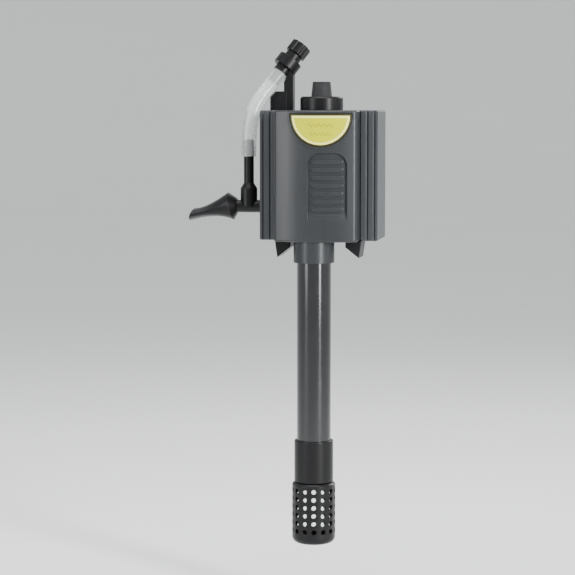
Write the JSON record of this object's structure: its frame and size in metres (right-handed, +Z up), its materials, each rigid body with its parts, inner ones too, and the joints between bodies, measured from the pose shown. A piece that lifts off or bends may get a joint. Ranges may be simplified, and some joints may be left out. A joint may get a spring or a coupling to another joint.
{
  "type": "submersible aquarium filter pump",
  "caption": "Glass-mounted aquarium filter pump: grey housing with lift-out cartridge, long intake tube with strainer, venturi outlet with duckbill nozzle and air tube.",
  "frame": {"origin": "middle of the plane of the four suction-cup rims, on the glass", "axes": "+Z up, +Y into the glass, front of the pump towards -Y, outlet towards -X"},
  "size_m": [0.0917, 0.0645, 0.2382],
  "materials": {
    "black_plastic": "satin",
    "cup_rubber": "soft satin",
    "body_plastic": "satin",
    "case_plastic": "satin",
    "black_rubber": "matte",
    "lamination_steel": "laminated",
    "bobbin_plastic": "satin",
    "copper_wire": "enamelled",
    "ceramic": "polished",
    "magnet": "ground",
    "impeller_plastic": "satin",
    "badge_yellow": "printed",
    "foam": "open cell",
    "smoked_plastic": "gloss",
    "silicone": "translucent"
  },
  "bodies": {
    "bracket": {"wall_bracket": "black_plastic", "suction_cup_1": "cup_rubber", "suction_cup_2": "cup_rubber", "suction_cup_3": "cup_rubber", "suction_cup_4": "cup_rubber"},
    "pump": {"pump_body": "body_plastic", "left_shelf": "black_plastic", "right_shelf": "black_plastic", "motor_cover": "body_plastic", "cable_cap": "black_plastic", "cable_gland": "black_rubber", "stator_core": "lamination_steel", "bobbin": "bobbin_plastic", "winding": "copper_wire", "rotor_shaft": "ceramic", "upper_bush": "black_rubber", "outlet_tee": "black_plastic", "air_tube": "silicone", "valve_post": "black_plastic", "valve_barrel": "black_plastic"},
    "rotor": {"rotor_magnet": "magnet", "impeller": "impeller_plastic"},
    "pump_cover": {"volute_cover": "body_plastic", "o_ring": "black_rubber", "lower_bush": "black_rubber"},
    "cartridge": {"filter_case": "case_plastic", "badge": "badge_yellow", "case_grid": "black_plastic", "sponge": "foam"},
    "intake": {"intake_tube": "smoked_plastic", "tube_coupling": "black_plastic"},
    "basket": {"strainer": "black_plastic"},
    "nozzle": {"nozzle": "black_plastic"},
    "knob": {"valve_knob": "black_plastic"}
  },
  "joints": [
    {"name": "pump_lift", "type": "slide", "parent": "bracket", "child": "pump", "axis": [0, 0, 1], "range_m": [0, 0.028]},
    {"name": "rotor_spin", "type": "hinge", "parent": "pump", "child": "rotor", "pos_m": [-0.0016, -0.0305, 0], "axis": [0, 0, 1], "continuous": true},
    {"name": "pump_cover_pull", "type": "slide", "parent": "pump", "child": "pump_cover", "axis": [0, 0, -1], "range_m": [0, 0.01]},
    {"name": "cartridge_lift", "type": "slide", "parent": "pump", "child": "cartridge", "axis": [0, 0, 1], "range_m": [0, 0.058]},
    {"name": "intake_pull", "type": "slide", "parent": "cartridge", "child": "intake", "axis": [0, 0, -1], "range_m": [0, 0.008]},
    {"name": "strainer_pull", "type": "slide", "parent": "intake", "child": "basket", "axis": [0, 0, -1], "range_m": [0, 0.008]},
    {"name": "nozzle_swivel", "type": "hinge", "parent": "pump", "child": "nozzle", "pos_m": [-0.0413, -0.0383, -0.0152], "axis": [1, 0, 0], "continuous": true},
    {"name": "air_knob_turn", "type": "hinge", "parent": "pump", "child": "knob", "pos_m": [-0.0218, -0.0287, 0.0484], "axis": [0.5584, 0.3058, 0.7711], "range_deg": [0, 270]}
  ]
}
